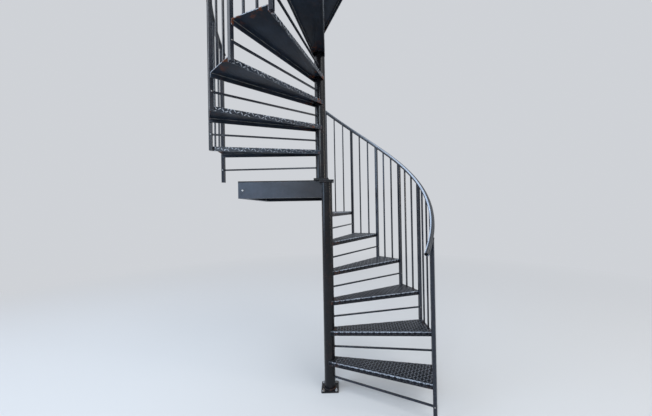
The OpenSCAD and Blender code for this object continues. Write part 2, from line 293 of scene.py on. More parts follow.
# Distances from the column between which a tread's wear or rust grows from none to full
RIM_RING = (0.79, 0.82)
OUTER_RUST = (0.765, 0.822)
INNER_RUST = (0.19, 0.08)
RUST_BETWEEN = 0.07      # share of the rust that is left in a tread's middle


def shade(colour, factor):
    return tuple(factor * c for c in colour)


def painted_sheen(s, colour, cloudy, spots, sheen):
    """Colour with a painted reflection of the sky on the channels, bluish and strongest by the
    side wall.
    """
    by_wall = s.remap(s.dot(s.coord, (1, 0, 0)), *SHEEN_X)
    sky_sheen = s.mix(by_wall, SHEEN_BY_COLUMN, SHEEN_NEAR_WALL)
    sheen_amount = s.remap(s.plus(cloudy, s.times(spots, 0.4)), 0.45, 0.85, 0.45, 1.0)
    return s.mix(s.times(sheen_amount, sheen), colour, sky_sheen)


def bend_wear_and_highlight(s, axis_x):
    """Wear with a painted highlight on the bends of treads round a column, most of it on their
    front bends.
    """
    way = s.vector("SUBTRACT", s.coord, (axis_x, 0, 0))
    round_stair = s.vector("CROSS_PRODUCT", UP, way)
    front = s.remap(s.dot(s.normal, round_stair), -0.02, -0.10)
    tilt = s.facing(UP)
    bend = s.times(s.remap(tilt, 0.22, 0.55), s.remap(tilt, 0.992, 0.94))
    patchy = s.remap(s.noise(62.0, 2.0, 0.5), 0.40, 0.56, 0.25, 1.0)
    return s.times(bend, patchy, s.plus(s.times(front, 0.75), 0.25))


def rubbed_rim(s, axis_x):
    """Wear on the outer ends of treads' plates."""
    way = s.from_axis(axis_x)
    outward = s.dot(s.normal, s.vector("NORMALIZE", way))
    patchy = s.remap(s.noise(31.0, 4.0, 0.6), 0.36, 0.50, 0.3, 1.0)
    return s.times(s.remap(s.length(way), *RIM_RING), s.remap(outward, 0.90, 0.96), patchy)


def bend_highlight(s):
    """Painted highlight inside the bends of treads: a pale, patchy line that shows from below."""
    tilt = s.facing(UP)
    patchy = s.remap(s.noise(22.0, 4.0, 0.6), 0.38, 0.56, 0.1, 1.0)
    return s.times(s.remap(tilt, -0.96, -0.86), s.remap(tilt, -0.10, -0.28), patchy)


def rust_patches(s, spots, axis_x):
    """Patches of rust, on treads round a column most of them by both ends."""
    patches = s.remap(s.plus(s.noise(17.0, 6.0, 0.68), s.times(spots, 0.5)), 0.78, 0.88)
    if axis_x is None:
        return patches
    ring = s.length(s.from_axis(axis_x))
    ends = s.plus(s.remap(ring, *OUTER_RUST), s.remap(ring, *INNER_RUST))
    return s.times(patches, s.plus(ends, RUST_BETWEEN, True))


def steel(name, base=BLACK, rough=0.36, wear=0.5, dust=0.35, rust=0.0, axis_x=None,
          bends=0.0, sheen=0.0, corners=0.0, rim=0.0, gloss=0.3):
    """Black paint over steel. wear, dust and rust say how much of each shows, haze how strong the
    channels' painted sky reflection is. For treads round a column at axis_x, bends and rim are
    the wear on their bends and outer ends, with a painted highlight on the bends, and corners the
    painted highlight inside the bends."""
    s = Shader(name)
    cloudy = s.noise(4.2, 5.0, 0.62)
    streaks = s.noise(9.0, 4.0, 0.55, (1, 1, 0.12))
    fine = s.noise(150.0, 3.0, 0.65)
    spots = s.noise(38.0, 5.0, 0.7)
    tone = s.remap(s.plus(cloudy, streaks), 0.75, 1.25)
    colour = s.mix(tone, shade(base, 0.7), shade(base, 1.7))
    # Painted sky reflection on the channels, patchy, strongest by the side wall
    if sheen:
        colour = painted_sheen(s, colour, cloudy, spots, sheen)
    up = s.remap(s.facing(UP), 0.55, 0.98)
    dusty = s.times(up, s.remap(s.plus(spots, cloudy), 0.85, 1.25, 0.15, 1.0))
    colour = s.mix(s.times(dusty, dust), colour, DUST)
    roughness = s.plus(s.remap(fine, 0.3, 0.7, rough - 0.07, rough + 0.09),
                       s.times(dusty, 0.22 * dust))
    worn = s.times(s.edges(EDGE_WEAR_R), s.remap(spots, 0.42, 0.60), wear)
    # Wear on the bends, lighter as a painted highlight
    if bends:
        worn = s.math("MAXIMUM", worn, s.times(bend_wear_and_highlight(s, axis_x), bends))
    if rim:
        worn = s.math("MAXIMUM", worn, s.times(rubbed_rim(s, axis_x), rim))
    colour = s.mix(worn, colour, BARE)
    # Painted highlight inside the bends, patchy
    if corners:
        colour = s.mix(s.times(bend_highlight(s), corners), colour, BEND_HIGHLIGHT)
    roughness = s.minus(roughness, s.times(worn, 0.06))
    normal = s.bump(fine, 0.10, 0.0005)
    if rust:
        patches = s.times(rust_patches(s, spots, axis_x), rust)
        colour = s.mix(patches, colour, s.mix(fine, DARK_RUST, RUST))
        roughness = s.plus(roughness, s.times(patches, 0.35))
        normal = s.bump(s.times(patches, spots), 0.35, 0.0012, normal)
    s.set(Base_Color=colour, Roughness=roughness, Normal=normal, Specular_IOR_Level=gloss)
    return s.material


LUG_PAINTED = (0.012, 0.013, 0.016)
LUG_ON_TOP = (0.105, 0.118, 0.140)
# Lugs on the bends: worn bare, and lighter and bluer as a painted highlight
LUG_BEND_WEAR_AND_HIGHLIGHT = (0.50, 0.56, 0.66)
# Lugs on the lips, one colour per flight: the lower flight's in painted shade, the upper flight's
# lighter as painted sky light
LUG_ON_LOWER_LIP_SHADED = (0.040, 0.044, 0.052)
LUG_ON_UPPER_LIP_LIT = (0.37, 0.41, 0.47)
WEAR_BY_COLUMN = 0.36   # share of the wear that is left at the column, where nobody steps
LUG_WEAR = (0.20, 0.75)  # distances from the column between which it grows to the full wear


def from_level(s, first, rise):
    """Distance in height from the nearest of the levels that are rise apart from first on."""
    high = s.math("MODULO", s.plus(s.dot(s.coord, UP), 2 * rise - first), rise)
    high = s.minus(high, rise)
    return s.math("MINIMUM", s.math("ABSOLUTE", high), s.plus(high, rise))


def worn_lugs(name, first=0.0, rise=0.0, on_lip=LUG_ON_TOP):
    """The pattern's raised lugs, rubbed bare, with a painted highlight on the bends of treads,
    whose levels are rise apart from first on, and on their lips on_lip, which holds a flight's
    painted light or shade. Without a rise they are a deck's."""
    s = Shader(name)
    patch = s.noise(6.0, 4.0, 0.6)
    fine = s.noise(210.0, 2.0, 0.6)
    rubbed = s.times(s.remap(patch, 0.30, 0.58, 0.55, 1.0), s.remap(fine, 0.26, 0.50))
    bare = LUG_ON_TOP
    if rise:
        below = from_level(s, first, rise)
        out = s.remap(s.length(s.from_axis(0)), *LUG_WEAR)
        bare = s.mix(out, shade(LUG_ON_TOP, WEAR_BY_COLUMN), LUG_ON_TOP)
        bare = s.mix(s.remap(below, 0.0008, 0.0022), bare, LUG_BEND_WEAR_AND_HIGHLIGHT)
        lip = s.mix(out, shade(on_lip, WEAR_BY_COLUMN), on_lip)
        bare = s.mix(s.remap(below, BEND_R - 0.002, BEND_R + 0.003), bare, lip)
    s.set(Base_Color=s.mix(rubbed, LUG_PAINTED, bare), Metallic=s.times(rubbed, 0.5),
          Roughness=s.remap(rubbed, 0, 1, 0.40, 0.30),
          Normal=s.bump(fine, 0.15, 0.0004))
    return s.material


RAIL_DARK = (0.010, 0.012, 0.017)
RAIL_LIGHT = (0.024, 0.030, 0.041)
# Painted sheen on the pipe's upper side
RAIL_TOP_SHEEN = (0.034, 0.038, 0.044)
RAIL_PAINTED_HIGHLIGHT = (0.55, 0.63, 0.75)
RAIL_CHIPPED = (0.10, 0.085, 0.075)
HIGHLIGHT_UP, HIGHLIGHT_OUT = 0.76, -0.65  # painted highlight along the pipe's upper inner side, a reflection of the sky at the left
HIGHLIGHT_Z = (1.8, 2.4)               # heights between which the painted highlight fades to the share set below
HIGHLIGHT_ABOVE = 0.3


def rail_paint(name):
    """The handrail's paint, with a painted highlight along the pipe's upper inner side, painted
    sheen on its top and a few small chips.
    """
    s = Shader(name)
    long_marks = s.noise(14.0, 4.0, 0.6)
    fine = s.noise(190.0, 3.0, 0.6)
    colour = s.mix(s.remap(long_marks, 0.3, 0.7), RAIL_DARK, RAIL_LIGHT)
    # Lighter on up-facing sides: painted sheen
    colour = s.mix(s.remap(s.facing(UP), 0.34, 0.82), colour, RAIL_TOP_SHEEN)
    outward = s.dot(s.normal, s.vector("NORMALIZE", s.from_axis(0)))
    # Painted highlight: a band on the pipe's upper inner side, weaker higher up
    inner = s.plus(s.times(s.facing(UP), HIGHLIGHT_UP), s.times(outward, HIGHLIGHT_OUT))
    painted_highlight = s.times(s.remap(inner, 0.74, 0.87), s.remap(fine, 0.25, 0.60, 0.7, 1.0),
                      s.remap(s.dot(s.coord, UP), *HIGHLIGHT_Z, 1.0, HIGHLIGHT_ABOVE))
    colour = s.mix(painted_highlight, colour, RAIL_PAINTED_HIGHLIGHT)
    chips = s.remap(s.plus(s.noise(32.0, 4.0, 0.7), s.times(fine, 0.3)), 0.80, 0.86)
    s.set(Base_Color=s.mix(chips, colour, RAIL_CHIPPED),
          Roughness=s.remap(fine, 0.3, 0.7, 0.26, 0.36),
          Normal=s.bump(fine, 0.06, 0.0004), Specular_IOR_Level=0.6)
    return s.material


ZINC_DARK = (0.34, 0.35, 0.36)
ZINC_LIGHT = (0.52, 0.53, 0.54)
BOLT_STAIN = (0.16, 0.10, 0.06)


def bright_bolt(name):
    """Galvanised bolts, dulled by the weather."""
    s = Shader(name)
    spangle = s.noise(420.0, 2.0, 0.5)
    stain = s.remap(s.noise(60.0, 4.0, 0.7), 0.5, 0.68)
    s.set(Base_Color=s.mix(stain, s.mix(spangle, ZINC_DARK, ZINC_LIGHT), BOLT_STAIN),
          Metallic=0.85,
          Roughness=s.remap(spangle, 0.3, 0.7, 0.34, 0.52),
          Normal=s.bump(spangle, 0.08, 0.0003))
    return s.material


# The channels carry a painted sky reflection, bluish towards the side wall
FRAME_PAINT = steel("channel_paint", rough=0.42, wear=0.5, dust=0.15, rust=0.04, sheen=0.8)
COLUMN_PAINT = steel("column_paint", rough=0.22, wear=0.35, dust=0.06, rust=0.06, gloss=0.25)
BAR_PAINT = steel("bar_paint", base=(0.0080, 0.0110, 0.0175), rough=0.25, wear=0.6, dust=0.1,
                  rust=0.06, gloss=0.4)
# The lower treads' paint: a darker, duller copy of the upper treads' black, as painted shade
LOWER_TREAD_PAINT_SHADED = steel("lower_tread_paint_shaded", base=(0.0046, 0.0058, 0.0090), rust=0.45,
                          axis_x=0, bends=1.0, dust=0.05, corners=0.2, rim=0.35, gloss=0.13)
# The upper treads' paint: a lighter, bluer copy of the same black, as painted sky light
UPPER_TREAD_PAINT_LIT = steel("upper_tread_paint_lit", base=(0.0105, 0.0160, 0.0255), rust=1.0,
                          axis_x=-COLUMN_SHIFT, bends=0.6, dust=0.14, corners=0.42, rim=0.9)
DECK_PAINT = steel("deck_paint", dust=0.25, rust=0.3)
WELD_PAINT = steel("weld_paint", rough=0.42, wear=0.3, dust=0.2, rust=0.5)
RAIL_PAINT = rail_paint("rail_paint")
DECK_LUG_PAINT = worn_lugs("deck_lug_paint")
LOWER_LUG_PAINT = worn_lugs("lower_lug_paint", LOWER_RISE, LOWER_RISE, LUG_ON_LOWER_LIP_SHADED)
UPPER_LUG_PAINT = worn_lugs("upper_lug_paint", UPPER_FIRST, UPPER_RISE, LUG_ON_UPPER_LIP_LIT)
BOLT_METAL = bright_bolt("bolt_metal")

SLOT_PAINT = {
    "landing_plate": DECK_PAINT, "channel_steel": FRAME_PAINT, "column_steel": COLUMN_PAINT,
    "bar_steel": BAR_PAINT, "handrail_steel": RAIL_PAINT,
}

# The CAD nodes: smooth round faces and small round edges
ROUND_EDGE = {
    "bar_steel": 0.0014, "channel_steel": 0.0012, "column_steel": 0.0008,
    "landing_plate": 0.0006, "tread_plate": 0.0006, "handrail_steel": 0.0006,
}
SAME_PLACE = 0.00001
SHARP_TURN = math.radians(30)
FLAT_TURN = math.radians(0.5)


def shading_group():
    """Geometry nodes that join the imported corners and shade round faces smooth."""
    group = bpy.data.node_groups.new("shade_round_faces", "GeometryNodeTree")
    for way in ("INPUT", "OUTPUT"):
        group.interface.new_socket("Geometry", in_out=way, socket_type="NodeSocketGeometry")
    start = group.nodes.new("NodeGroupInput")
    merge = group.nodes.new("GeometryNodeMergeByDistance")
    merge.inputs["Distance"].default_value = SAME_PLACE
    angle = group.nodes.new("GeometryNodeInputMeshEdgeAngle")
    sharp = group.nodes.new("FunctionNodeCompare")
    sharp.inputs["B"].default_value = SHARP_TURN
    shading = group.nodes.new("GeometryNodeSetMeshNormal")
    shading.mode = "SHARPNESS"
    shading.inputs["Remove Custom"].default_value = True
    finish = group.nodes.new("NodeGroupOutput")
    link = group.links.new
    link(start.outputs[0], merge.inputs["Geometry"])
    link(merge.outputs[0], shading.inputs["Mesh"])
    link(angle.outputs["Unsigned Angle"], sharp.inputs["A"])
    link(sharp.outputs["Result"], shading.inputs["Edge Sharpness"])
    link(shading.outputs["Mesh"], finish.inputs[0])
    return group


def dress_node(obj, material, shading, round_edge):
    """A CAD node's material and the small round edges of rolled and sheared steel."""
    obj.data.materials.clear()
    obj.data.materials.append(material)
    smooth = obj.modifiers.new("shading", "NODES")
    smooth.node_group = shading
    flats = obj.modifiers.new("whole_flats", "DECIMATE")
    flats.decimate_type = "DISSOLVE"
    flats.angle_limit = FLAT_TURN
    bevel = obj.modifiers.new("edges", "BEVEL")
    bevel.width = round_edge
    bevel.segments = 2
    bevel.limit_method = "ANGLE"
    bevel.angle_limit = SHARP_TURN
    bevel.use_clamp_overlap = False
    bevel.harden_normals = True


shading_nodes = shading_group()
slot_of = {row["node"]: row["material_slot"] for row in frame["record"]["subparts"]}
for node_name, node in frame["nodes"].items():
    slot_name = slot_of[node_name]
    if slot_name == "tread_plate":
        node_paint = LOWER_TREAD_PAINT_SHADED if node_name.startswith("lower") else UPPER_TREAD_PAINT_LIT
    else:
        node_paint = SLOT_PAINT[slot_name]
    dress_node(node, node_paint, shading_nodes, ROUND_EDGE[slot_name])


# New pieces: bmesh work and what every piece needs
RAIL_SHARP, LUG_SHARP, WELD_SHARP, BOLT_SHARP = 35, 50, 60, 30  # degrees


def put(name, data):
    """A new object in the scene."""
    obj = bpy.data.objects.new(name, data)
    bpy.context.scene.collection.objects.link(obj)
    return obj


def finished_mesh(name, build):
    """A mesh made by build(bm), with its faces outward."""
    bm = bmesh.new()
    build(bm)
    bmesh.ops.recalc_face_normals(bm, faces=bm.faces)
    mesh = bpy.data.meshes.new(name)
    bm.to_mesh(mesh)
    bm.free()
    return mesh


def piece(name, material, build, sharp):
    """A new mesh piece, made by build(bm) in world coordinates."""
    mesh = finished_mesh(name, build)
    mesh.materials.append(material)
    mesh.shade_smooth()
    mesh.set_sharp_from_angle(angle=math.radians(sharp))
    obj = put(name, mesh)
    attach(obj, "root")
    return obj


def skin(bm, rings):
    """A closed body over rings of points, each as long as the next, with a face at either end."""
    rows = [[bm.verts.new(p) for p in ring] for ring in rings]
    for a, b in zip(rows, rows[1:]):
        for i in range(len(a)):
            j = (i + 1) % len(a)
            bm.faces.new((a[i], a[j], b[j], b[i]))
    bm.faces.new(rows[0])
    bm.faces.new(rows[-1])


def spin_frame(axis):
    """Two directions square to axis and to each other, and axis itself."""
    axis = Vector(axis).normalized()
    side = axis.orthogonal().normalized()
    return side, axis.cross(side), axis


# The raised pattern of the plates
LUG_L = 0.0258
LUG_W = 0.0078
LUG_SIDES = 10
LUG_RINGS = ((1.0, -0.0003), (0.84, 0.0009), (0.40, 0.0014))  # scale and height of each ring
LUG_PITCH = 0.0235
FLAT_OFF = EDGE_OFF - BEND_R
BEND_LONG = BEND_R * math.pi / 2
LIP_LONG = BEND_LONG + LIP_H - BEND_R
# Rows and columns of places, more than the plates hold
TREAD_ROWS, TREAD_PLACES = range(-14, 2), range(2, 38)
DECK_ROWS, DECK_PLACES = range(-40, 40), range(-4, 42)
# How far the middle of a lug stays from other things, or may be past them
PAST_CHORD = 0.003
OVER_LIP_END = 0.002
BY_BEND = 0.004
FROM_INNER_END = 0.020
FROM_POST = 0.016
FROM_COLUMN = 0.017
FROM_BALUSTER = 0.020
FROM_SPLICE = 0.014
FROM_LANDING_POST = 0.034
FROM_GUARD_BAR = 0.012
FROM_DECK_EDGE = 0.0105
# Lugs are cut off this far inside the tread's outer edge and above its lips' lower edge
CUT_AT_CHORD = 0.0004
CUT_AT_LIP = 0.0006


def lug_outline(turn):
    """Rings of one lug as (x, y, height), its length turned by turn."""
    c, s = math.cos(turn), math.sin(turn)
    rings = []
    for scale, height in LUG_RINGS:
        ring = []
        for i in range(LUG_SIDES):
            q = 2 * math.pi * i / LUG_SIDES
            x = LUG_L / 2 * math.cos(q) * (0.5 + 0.5 * scale)
            y = LUG_W / 2 * math.sin(q) * scale
            ring.append((c * x - s * y, s * x + c * y, height))
        rings.append(ring)
    return rings


def lug_turn(i, j):
    """The lugs' turn: neighbours lie across each other."""
    return math.pi / 4 * (1 if (i + j) % 2 else -1)


def bent(x, y, height):
    """A point of the tread's flat sheet, with a height over it, where the bends put it."""
    for n in ((math.sin(LEAN), -math.cos(LEAN)), (math.sin(LEAN), math.cos(LEAN))):
        past = x * n[0] + y * n[1] - FLAT_OFF
        if past <= 0:
            continue
        turn = min(past / BEND_R, math.pi / 2)
        out = (BEND_R + height) * math.sin(turn) - past
        drop = BEND_R - (BEND_R + height) * math.cos(turn) + max(past - BEND_LONG, 0)
        return x + n[0] * out, y + n[1] * out, -drop
    return x, y, height


def lug_fits_tread(x, y, feet):
    """Whether a place of the flat sheet is on the tread and free of what is welded to it."""
    along = x * math.cos(LEAN) + abs(y) * math.sin(LEAN)
    past = x * math.sin(LEAN) + abs(y) * math.cos(LEAN) - FLAT_OFF
    if x > CHORD_X + PAST_CHORD or past > LIP_LONG - OVER_LIP_END:
        return False
    if past > -BY_BEND:
        return INNER_START + FROM_INNER_END < along < POST_ALONG - POST_HALF - FROM_POST
    if math.hypot(x, y) < COLUMN_R + FROM_COLUMN:
        return False
    return all(math.hypot(x - fx, y - fy) > FROM_BALUSTER for fx, fy in feet)


def tread_lugs(bm):
    """The pattern of one tread, in its own frame: walking face at z = 0, middle along +X."""
    along = (math.cos(LEAN), math.sin(LEAN))
    out = (math.sin(LEAN), -math.cos(LEAN))
    first = -TREAD_ANGLE / 2 - POST_BACK
    turns = [first + j * STEP / 3 for j in (1, 2)]
    feet = [(BALUSTER_RING * math.cos(a), BALUSTER_RING * math.sin(a)) for a in turns]
    for row in TREAD_ROWS:
        t = FLAT_OFF + BEND_LONG / 2 + row * LUG_PITCH
        for i in TREAD_PLACES:
            u = i * LUG_PITCH
            x, y = along[0] * u + out[0] * t, along[1] * u + out[1] * t
            if not lug_fits_tread(x, y, feet):
                continue
            rings = []
            for ring in lug_outline(LEAN + lug_turn(row, i)):
                placed = [bent(x + px, y + py, h) for px, py, h in ring]
                rings.append([(min(px, CHORD_X - CUT_AT_CHORD), py, max(pz, CUT_AT_LIP - LIP_H))
                              for px, py, pz in placed])
            skin(bm, rings)


def inside(x, y, corners, margin):
    """Whether a point is inside an anticlockwise outline, margin in from its sides."""
    for (ax, ay), (bx, by) in zip(corners, corners[1:] + corners[:1]):
        long = math.hypot(bx - ax, by - ay)
        if ((bx - ax) * (y - ay) - (by - ay) * (x - ax)) / long < margin:
            return False
    return True


def deck_lugs(corners, z, clear):
    """The pattern of a flat deck; clear says whether a place is free of what stands on it."""
    def build(bm):
        for i in DECK_ROWS:
            for j in DECK_PLACES:
                x, y = (i + 0.5) * LUG_PITCH, (j + 0.3) * LUG_PITCH
                if inside(x, y, corners, FROM_DECK_EDGE) and clear(x, y):
                    skin(bm, [[(x + px, y + py, z + h) for px, py, h in ring]
                              for ring in lug_outline(lug_turn(i, j))])
    return build


def landing_clear(x, y):
    foot = LOWER.at(POST_RING, LOWER.post_angle(LOWER.post_count), 0)
    by_splice = (x > -COLUMN_SHIFT - SPLICE_SIDE / 2 - FROM_SPLICE
                 and y < SPLICE_SIDE / 2 + FROM_SPLICE)
    return not by_splice and math.hypot(x - foot.x, y - foot.y) > FROM_LANDING_POST


def guard_feet():
    """Places of the top guard's posts and balusters, as (x, y, side)."""
    span_x = -COLUMN_SHIFT - COLUMN_R - POST_SIDE - GUARD_X
    span_y = WALL_Y - POST_SIDE - GUARD_Y
    feet = [(GUARD_X + i * span_x / 2, GUARD_Y, POST_SIDE) for i in range(3)]
    feet += [(GUARD_X, GUARD_Y + i * span_y / 2, POST_SIDE) for i in (1, 2)]
    feet += [(GUARD_X + i * span_x / GUARD_BAYS, GUARD_Y, BALUSTER_SIDE) for i in (1, 2, 4, 5)]
    feet += [(GUARD_X, GUARD_Y + i * span_y / (GUARD_BAYS + 2), BALUSTER_SIDE)
             for i in (1, 2, 3, 5, 6, 7)]
    return feet


def top_clear(x, y):
    if math.hypot(x + COLUMN_SHIFT, y) < COLUMN_R + FROM_COLUMN:
        return False
    return all(math.hypot(x - fx, y - fy) > FROM_GUARD_BAR + side
               for fx, fy, side in guard_feet())


def top_deck_corners():
    """Outline of the top landing, whose open side lies along the last tread's rear."""
    off_x, off_y = EDGE_OFF * math.sin(TOP_DIR), EDGE_OFF * math.cos(TOP_DIR)
    at_wall = off_x + (WALL_Y + off_y) / math.tan(TOP_DIR)
    return [(-WALL_X, -FRONT_Y), (-COLUMN_SHIFT, -FRONT_Y), (off_x - COLUMN_SHIFT, -off_y),
            (at_wall - COLUMN_SHIFT, WALL_Y), (-WALL_X, WALL_Y)]


landing_corners = [(-WALL_X, -FRONT_Y), (0, -FRONT_Y), (0, WALL_Y), (-WALL_X, WALL_Y)]
one_tread = finished_mesh("tread_lugs", tread_lugs)
for flight in (LOWER, UPPER):
    lug_paint = LOWER_LUG_PAINT if flight.is_lower else UPPER_LUG_PAINT
    for k in range(1, flight.count + 1):
        place = (Matrix.Translation(flight.axis + Vector((0, 0, flight.level(k))))
                 @ Matrix.Rotation(flight.tread_middle(k), 4, "Z"))

        def placed_lugs(bm, place=place):
            bm.from_mesh(one_tread)
            bmesh.ops.transform(bm, matrix=place, verts=bm.verts)

        piece("%s_tread_%d_pattern" % (flight.name, k), lug_paint, placed_lugs,
              LUG_SHARP)
bpy.data.meshes.remove(one_tread)
piece("landing_pattern", DECK_LUG_PAINT,
      deck_lugs(landing_corners, LANDING_Z, landing_clear), LUG_SHARP)
piece("top_landing_pattern", DECK_LUG_PAINT,
      deck_lugs(top_deck_corners(), TOP_Z, top_clear), LUG_SHARP)


# The handrails: smooth pipes with open ends, in place of the faceted solids
RAIL_SIDES = 32
RAIL_CHAMFER = 0.0006
RAIL_TURN = math.radians(1.25)  # longest stretch between two rings of the pipe


def helix_pipe(flight, begin, end):
    """A pipe on the stair's curve, from the bottom of its first bore to that of its last."""
    bore_r = RAIL_R - RAIL_WALL
    slope = flight.slope

    def turn_of(length):
        return length * math.cos(slope) / RAIL_PATH_R

    def ring(angle, r):
        points = []
        for i in range(RAIL_SIDES):
            q = 2 * math.pi * i / RAIL_SIDES
            out = RAIL_PATH_R + r * math.cos(q)
            high = r * math.sin(q)
            points.append(flight.axis + Vector((
                out * math.cos(angle) + high * math.sin(slope) * math.sin(angle),
                out * math.sin(angle) - high * math.sin(slope) * math.cos(angle),
                flight.rail_z(angle) + high * math.cos(slope))))
        return points

    steps = math.ceil((end - begin) / RAIL_TURN)
    small, deep = turn_of(RAIL_CHAMFER), turn_of(RAIL_BORE)
    long = end - begin - 2 * small
    path = [(begin + deep, bore_r), (begin + small, bore_r), (begin, bore_r + RAIL_CHAMFER),
            (begin, RAIL_R - RAIL_CHAMFER)]
    path += [(begin + small + long * i / steps, RAIL_R) for i in range(steps + 1)]
    path += [(end, RAIL_R - RAIL_CHAMFER), (end, bore_r + RAIL_CHAMFER), (end - small, bore_r),
             (end - deep, bore_r)]
    rings = [ring(angle, r) for angle, r in path]
    return lambda bm: skin(bm, rings)


lower_rail = piece("lower_handrail_pipe", RAIL_PAINT,
                   helix_pipe(LOWER, LOWER_START - RAIL_LEAD,
                              LOWER_START + LOWER_COUNT * STEP + RAIL_PAST), RAIL_SHARP)
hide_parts("lower_handrail")
upper_rail = piece("upper_handrail_pipe", RAIL_PAINT,
                   helix_pipe(UPPER, UPPER_START - UPPER_RAIL_LEAD, TOP_START + RAIL_PAST),
                   RAIL_SHARP)
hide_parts("upper_handrail")


# Weld beads: half-sunk ropes with a ripple
RIPPLE = 0.0036
BEAD_SIDES = 6
# How far the middle of a bead is out from the column, in from the post or under the handrail
COLUMN_OFF = 0.0012
THIN_COLUMN_OFF = 0.0008
POST_FACE_OFF = 0.0004
RAIL_OFF = 0.0006
TREAD_BEAD_REACH = math.radians(61)
TOP_BEAD_ENDS = (math.radians(-30), math.radians(190))
RING_POINTS = 72
SADDLE_HALF = 0.0145  # half the width of handrail that a bead may lie under
BEAD_R = {
    "tread_top": 0.0034, "tread_under": 0.0036, "lip_column": 0.0026, "lip_post": 0.0026,
    "lip_end": 0.0024, "post_top": 0.0019, "post_foot": 0.0028, "baluster_top": 0.0016,
    "baluster_foot": 0.0023, "bar_column": 0.0026, "bar_post": 0.0022, "column": 0.0042,
    "top_deck": 0.0034, "splice": 0.0036, "guard_post": 0.0026, "guard_baluster": 0.0021,
}


def stations_along(points, closed):
    """Places along points, half a ripple apart."""
    lengths = [0.0]
    for a, b in zip(points, points[1:]):
        lengths.append(lengths[-1] + (b - a).length)
    total = lengths[-1]
    count = max(4, 2 * round(total / RIPPLE))
    stations = []
    seg = 0
    for i in range(count if closed else count + 1):
        d = total * i / count
        while seg < len(lengths) - 2 and lengths[seg + 1] < d:
            seg += 1
        span = lengths[seg + 1] - lengths[seg]
        share = (d - lengths[seg]) / span if span else 0
        stations.append(points[seg].lerp(points[seg + 1], share))
    return stations


def bead(bm, points, r, closed=False):
    """A rippled rope along points."""
    points = [Vector(p) for p in points]
    if closed:
        points.append(points[0])
    stations = stations_along(points, closed)
    rings = []
    side = None
    n = len(stations)
    for i, p in enumerate(stations):
        before = stations[i - 1] if i or closed else p
        after = stations[(i + 1) % n] if i < n - 1 or closed else p
        t = (after - before).normalized()
        side = spin_frame(t)[0] if side is None else (side - t * side.dot(t)).normalized()
        other = t.cross(side)
        # The ripple, and a small uneven swell on top of it
        swell = r * (1.0 + (0.13 if i % 2 else -0.08) + 0.05 * math.sin(i * 2.4 + p.z * 90))
        if not closed and i in (0, n - 1):
            swell *= 0.5
        rings.append([p + swell * (math.cos(a) * side + math.sin(a) * other)
                      for a in (2 * math.pi * j / BEAD_SIDES for j in range(BEAD_SIDES))])
    if closed:
        join_ring(bm, rings)
    else:
        skin(bm, rings)


def join_ring(bm, rings):
    """Closes a ring of rings, turning the last onto the first where the frame has crept round."""
    first, last = rings[0], rings[-1]
    size = len(first)

    def misfit(shift):
        return sum((last[(j + shift) % size] - first[j]).length for j in range(size))

    shift = min(range(size), key=misfit)
    rows = [[bm.verts.new(p) for p in ring] for ring in rings]
    for a, b in zip(rows, rows[1:]):
        for j in range(size):
            bm.faces.new((a[j], a[(j + 1) % size], b[(j + 1) % size], b[j]))
    a, b = rows[-1], rows[0]
    for j in range(size):
        bm.faces.new((a[(j + shift) % size], a[(j + shift + 1) % size],
                      b[(j + 1) % size], b[j]))


def arc(centre, r, z, begin, end, count=40):
    return [Vector((centre.x + r * math.cos(a), centre.y + r * math.sin(a), z))
            for a in (begin + (end - begin) * i / count for i in range(count + 1))]


def round_square(side, shares):
    """Points round a square's outline, at these shares of each of its sides."""
    half = side / 2
    corners = [(half, half), (-half, half), (-half, -half), (half, -half)]
    return [(ax + (bx - ax) * f, ay + (by - ay) * f)
            for (ax, ay), (bx, by) in zip(corners, corners[1:] + corners[:1]) for f in shares]


ROUND_UPRIGHT = (0.08, 0.36, 0.64, 0.92)
ROUND_BAR = (0.1, 0.5, 0.9)


def upright_loop(flight, ring, angle, side, height):
    """A loop round an upright bar; height(dx, dy) gives it at a point of the bar's outline."""
    c, s = math.cos(angle), math.sin(angle)
    return [flight.axis + Vector(((ring + dx) * c - dy * s, (ring + dx) * s + dy * c,
                                  height(dx, dy)))
            for dx, dy in round_square(side, ROUND_UPRIGHT)]


def saddle_height(flight, angle, ring):
    """Height of the handrail's underside over a bar's outline."""
    def height(dx, dy):
        off = max(-SADDLE_HALF, min(SADDLE_HALF, ring + dx - RAIL_PATH_R))
        drop = math.sqrt(RAIL_R ** 2 - off ** 2) / math.cos(flight.slope)
        return flight.rail_z(angle) + math.tan(flight.slope) * dy - drop - RAIL_OFF
    return height


def tread_point(flight, k, along, off, drop, rear=False):
    """A point by a tread's long edge: along it, off from the column's axis, and drop below the
    walking face."""
    way = -1 if rear else 1
    x = along * math.cos(LEAN) + off * math.sin(LEAN)
    y = way * (along * math.sin(LEAN) - off * math.cos(LEAN))
    c, s = math.cos(flight.tread_middle(k)), math.sin(flight.tread_middle(k))
    return flight.axis + Vector((x * c - y * s, x * s + y * c, flight.level(k) - drop))


# Upright beads on the lips: place along the edge and off the axis, highest and lowest depth
# under the walking face, and name
LIP_BEADS = (
    (INNER_START - 0.0004, EDGE_OFF - 0.0018, BEND_R * 0.6, LIP_H - 0.002, "lip_column"),
    (POST_ALONG - POST_HALF - 0.0006, EDGE_OFF + 0.0008, BEND_R * 0.8, LIP_H - 0.003, "lip_post"),
    (TREAD_R - 0.0030, EDGE_OFF + 0.0004, BEND_R * 0.8, LIP_H - 0.003, "lip_end"),
)


